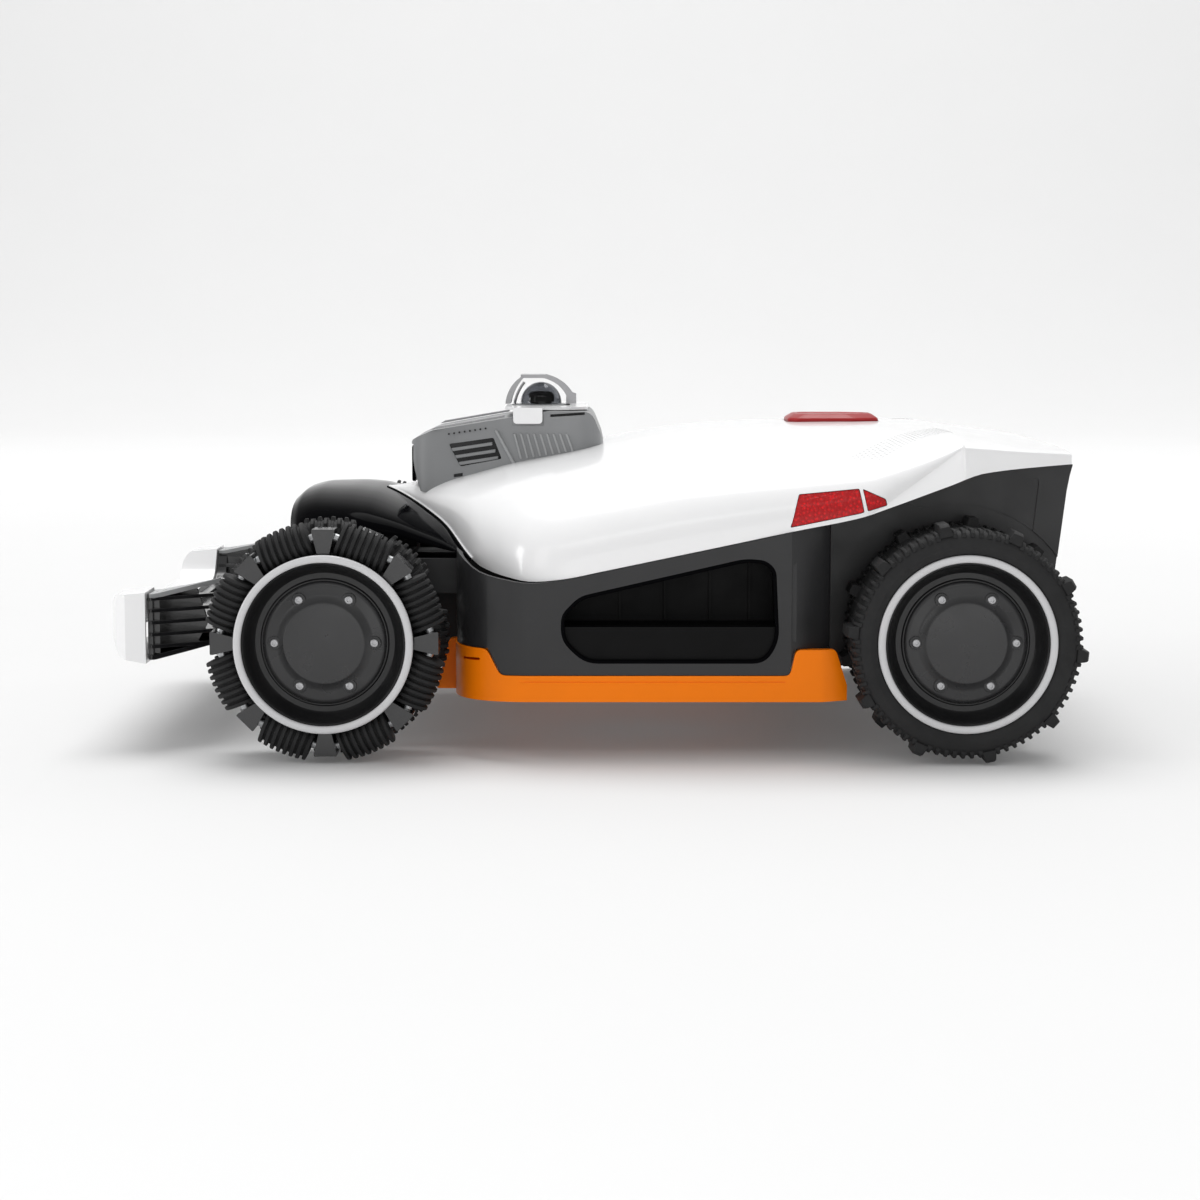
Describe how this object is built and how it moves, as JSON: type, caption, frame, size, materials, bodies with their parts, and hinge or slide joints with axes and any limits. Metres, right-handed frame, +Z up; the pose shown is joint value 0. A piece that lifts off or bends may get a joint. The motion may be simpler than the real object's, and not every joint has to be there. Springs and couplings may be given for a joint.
{
  "type": "robotic lawn mower",
  "caption": "Four-wheel-drive robotic lawn mower with omni front wheels, a sensor head, a sprung bumper, a stop button and a lifting two-disc cutting deck.",
  "frame": {"origin": "on the ground under the centre of the mower's bounding box", "axes": "-X is the front of the mower, +X its tail, -Y its left side, +Z up"},
  "size_m": [0.692, 0.512, 0.2658],
  "materials": {
    "white_shell": "glossy white moulded plastic",
    "shell_grey": "satin dark grey moulded plastic",
    "tub_black": "black structural plastic",
    "gloss_black": "high-gloss black plastic",
    "orange_plastic": "orange moulded plastic",
    "head_grey": "satin mid grey plastic",
    "signal_red": "red moulded plastic",
    "reflector_red": "red reflector with a prismatic back",
    "tyre_rubber": "black tyre rubber",
    "wheel_black": "black wheel plastic",
    "hub_grey": "satin grey hub plastic",
    "trim_silver": "light grey satin trim",
    "cast_alloy": "cast alloy",
    "blade_steel": "hardened steel",
    "board": "green circuit board",
    "dome_glass": "clear smoked dome"
  },
  "bodies": {
    "chassis": {"chassis_tub": "tub_black", "rear_housing": "shell_grey", "top_shell": "white_shell", "nose_visor": "gloss_black", "rear_port_cover": "tub_black", "battery_pack": "tub_black", "main_board": "board", "head_housing": "head_grey", "head_cover": "white_shell", "camera_window": "gloss_black", "lidar_dome": "dome_glass", "lidar_guard": "head_grey", "side_panel_left": "shell_grey", "skirt_left": "orange_plastic", "reflector_left": "reflector_red", "rear_motor_left": "cast_alloy", "side_panel_right": "shell_grey", "skirt_right": "orange_plastic", "reflector_right": "reflector_red", "rear_motor_right": "cast_alloy"},
    "stop_button": {"stop_button": "signal_red"},
    "lidar_rotor": {"lidar_rotor": "tub_black"},
    "bumper": {"bumper_cover": "white_shell", "bumper_frame": "tub_black"},
    "front_axle": {"front_axle_beam": "cast_alloy"},
    "deck": {"deck_carrier": "orange_plastic"},
    "rear_wheel_left": {"rear_tyre_left": "tyre_rubber", "rear_rim_left": "wheel_black", "rear_hub_cap_left": "hub_grey"},
    "front_wheel_left": {"front_wheel_left": "wheel_black", "front_hub_cap_left": "hub_grey"},
    "roller_left_1": {"roller_left_1": "tyre_rubber"},
    "roller_left_2": {"roller_left_2": "tyre_rubber"},
    "roller_left_3": {"roller_left_3": "tyre_rubber"},
    "roller_left_4": {"roller_left_4": "tyre_rubber"},
    "roller_left_5": {"roller_left_5": "tyre_rubber"},
    "roller_left_6": {"roller_left_6": "tyre_rubber"},
    "roller_left_7": {"roller_left_7": "tyre_rubber"},
    "roller_left_8": {"roller_left_8": "tyre_rubber"},
    "disc_left": {"cutting_disc_left": "blade_steel"},
    "blade_left_1": {"blade_left_1": "blade_steel"},
    "blade_left_2": {"blade_left_2": "blade_steel"},
    "blade_left_3": {"blade_left_3": "blade_steel"},
    "rear_wheel_right": {"rear_tyre_right": "tyre_rubber", "rear_rim_right": "wheel_black", "rear_hub_cap_right": "hub_grey"},
    "front_wheel_right": {"front_wheel_right": "wheel_black", "front_hub_cap_right": "hub_grey"},
    "roller_right_1": {"roller_right_1": "tyre_rubber"},
    "roller_right_2": {"roller_right_2": "tyre_rubber"},
    "roller_right_3": {"roller_right_3": "tyre_rubber"},
    "roller_right_4": {"roller_right_4": "tyre_rubber"},
    "roller_right_5": {"roller_right_5": "tyre_rubber"},
    "roller_right_6": {"roller_right_6": "tyre_rubber"},
    "roller_right_7": {"roller_right_7": "tyre_rubber"},
    "roller_right_8": {"roller_right_8": "tyre_rubber"},
    "disc_right": {"cutting_disc_right": "blade_steel"},
    "blade_right_1": {"blade_right_1": "blade_steel"},
    "blade_right_2": {"blade_right_2": "blade_steel"},
    "blade_right_3": {"blade_right_3": "blade_steel"}
  },
  "joints": [
    {"name": "stop_press", "type": "slide", "parent": "chassis", "child": "stop_button", "axis": [0, 0, -1], "range_m": [0, 0.004], "stiffness_N_per_m": 800, "springref_m": -0.002},
    {"name": "lidar_spin", "type": "hinge", "parent": "chassis", "child": "lidar_rotor", "pos_m": [-0.0395, 0, 0.243], "axis": [0, 0, 1], "continuous": true},
    {"name": "bumper_press", "type": "slide", "parent": "chassis", "child": "bumper", "axis": [1, 0, 0], "range_m": [0, 0.008], "stiffness_N_per_m": 1500, "springref_m": -0.004},
    {"name": "axle_rock", "type": "hinge", "parent": "chassis", "child": "front_axle", "pos_m": [-0.15, 0, 0.085], "axis": [1, 0, 0], "range_deg": [-6, 6]},
    {"name": "deck_lift", "type": "slide", "parent": "chassis", "child": "deck", "axis": [0, 0, 1], "range_m": [-0.03, 0.015]},
    {"name": "rear_wheel_left_spin", "type": "hinge", "parent": "chassis", "child": "rear_wheel_left", "pos_m": [0.261, -0.218, 0.085], "axis": [0, 1, 0], "continuous": true},
    {"name": "front_wheel_left_spin", "type": "hinge", "parent": "front_axle", "child": "front_wheel_left", "pos_m": [-0.185, -0.217, 0.085], "axis": [0, 1, 0], "continuous": true},
    {"name": "roller_left_1_spin", "type": "hinge", "parent": "front_wheel_left", "child": "roller_left_1", "pos_m": [-0.12033, -0.2355, 0.11179], "axis": [-0.3827, 0, 0.9239], "continuous": true},
    {"name": "roller_left_2_spin", "type": "hinge", "parent": "front_wheel_left", "child": "roller_left_2", "pos_m": [-0.15821, -0.2355, 0.14967], "axis": [-0.9239, 0, 0.3827], "continuous": true},
    {"name": "roller_left_3_spin", "type": "hinge", "parent": "front_wheel_left", "child": "roller_left_3", "pos_m": [-0.21179, -0.2355, 0.14967], "axis": [-0.9239, 0, -0.3827], "continuous": true},
    {"name": "roller_left_4_spin", "type": "hinge", "parent": "front_wheel_left", "child": "roller_left_4", "pos_m": [-0.24967, -0.2355, 0.11179], "axis": [-0.3827, 0, -0.9239], "continuous": true},
    {"name": "roller_left_5_spin", "type": "hinge", "parent": "front_wheel_left", "child": "roller_left_5", "pos_m": [-0.24967, -0.2355, 0.05821], "axis": [0.3827, 0, -0.9239], "continuous": true},
    {"name": "roller_left_6_spin", "type": "hinge", "parent": "front_wheel_left", "child": "roller_left_6", "pos_m": [-0.21179, -0.2355, 0.02033], "axis": [0.9239, 0, -0.3827], "continuous": true},
    {"name": "roller_left_7_spin", "type": "hinge", "parent": "front_wheel_left", "child": "roller_left_7", "pos_m": [-0.15821, -0.2355, 0.02033], "axis": [0.9239, 0, 0.3827], "continuous": true},
    {"name": "roller_left_8_spin", "type": "hinge", "parent": "front_wheel_left", "child": "roller_left_8", "pos_m": [-0.12033, -0.2355, 0.05821], "axis": [0.3827, 0, 0.9239], "continuous": true},
    {"name": "disc_left_spin", "type": "hinge", "parent": "deck", "child": "disc_left", "pos_m": [0.032, -0.093, 0.06], "axis": [0, 0, 1], "continuous": true},
    {"name": "blade_left_1_swing", "type": "hinge", "parent": "disc_left", "child": "blade_left_1", "pos_m": [0.092, -0.093, 0.0545], "axis": [0, 0, 1], "range_deg": [-90, 90]},
    {"name": "blade_left_2_swing", "type": "hinge", "parent": "disc_left", "child": "blade_left_2", "pos_m": [0.002, -0.04104, 0.0545], "axis": [0, 0, 1], "range_deg": [-90, 90]},
    {"name": "blade_left_3_swing", "type": "hinge", "parent": "disc_left", "child": "blade_left_3", "pos_m": [0.002, -0.14496, 0.0545], "axis": [0, 0, 1], "range_deg": [-90, 90]},
    {"name": "rear_wheel_right_spin", "type": "hinge", "parent": "chassis", "child": "rear_wheel_right", "pos_m": [0.261, 0.218, 0.085], "axis": [0, 1, 0], "continuous": true},
    {"name": "front_wheel_right_spin", "type": "hinge", "parent": "front_axle", "child": "front_wheel_right", "pos_m": [-0.185, 0.217, 0.085], "axis": [0, 1, 0], "continuous": true},
    {"name": "roller_right_1_spin", "type": "hinge", "parent": "front_wheel_right", "child": "roller_right_1", "pos_m": [-0.12033, 0.2355, 0.11179], "axis": [-0.3827, 0, 0.9239], "continuous": true},
    {"name": "roller_right_2_spin", "type": "hinge", "parent": "front_wheel_right", "child": "roller_right_2", "pos_m": [-0.15821, 0.2355, 0.14967], "axis": [-0.9239, 0, 0.3827], "continuous": true},
    {"name": "roller_right_3_spin", "type": "hinge", "parent": "front_wheel_right", "child": "roller_right_3", "pos_m": [-0.21179, 0.2355, 0.14967], "axis": [-0.9239, 0, -0.3827], "continuous": true},
    {"name": "roller_right_4_spin", "type": "hinge", "parent": "front_wheel_right", "child": "roller_right_4", "pos_m": [-0.24967, 0.2355, 0.11179], "axis": [-0.3827, 0, -0.9239], "continuous": true},
    {"name": "roller_right_5_spin", "type": "hinge", "parent": "front_wheel_right", "child": "roller_right_5", "pos_m": [-0.24967, 0.2355, 0.05821], "axis": [0.3827, 0, -0.9239], "continuous": true},
    {"name": "roller_right_6_spin", "type": "hinge", "parent": "front_wheel_right", "child": "roller_right_6", "pos_m": [-0.21179, 0.2355, 0.02033], "axis": [0.9239, 0, -0.3827], "continuous": true},
    {"name": "roller_right_7_spin", "type": "hinge", "parent": "front_wheel_right", "child": "roller_right_7", "pos_m": [-0.15821, 0.2355, 0.02033], "axis": [0.9239, 0, 0.3827], "continuous": true},
    {"name": "roller_right_8_spin", "type": "hinge", "parent": "front_wheel_right", "child": "roller_right_8", "pos_m": [-0.12033, 0.2355, 0.05821], "axis": [0.3827, 0, 0.9239], "continuous": true},
    {"name": "disc_right_spin", "type": "hinge", "parent": "deck", "child": "disc_right", "pos_m": [0.032, 0.093, 0.06], "axis": [0, 0, 1], "continuous": true},
    {"name": "blade_right_1_swing", "type": "hinge", "parent": "disc_right", "child": "blade_right_1", "pos_m": [0.092, 0.093, 0.0545], "axis": [0, 0, 1], "range_deg": [-90, 90]},
    {"name": "blade_right_2_swing", "type": "hinge", "parent": "disc_right", "child": "blade_right_2", "pos_m": [0.002, 0.14496, 0.0545], "axis": [0, 0, 1], "range_deg": [-90, 90]},
    {"name": "blade_right_3_swing", "type": "hinge", "parent": "disc_right", "child": "blade_right_3", "pos_m": [0.002, 0.04104, 0.0545], "axis": [0, 0, 1], "range_deg": [-90, 90]}
  ]
}
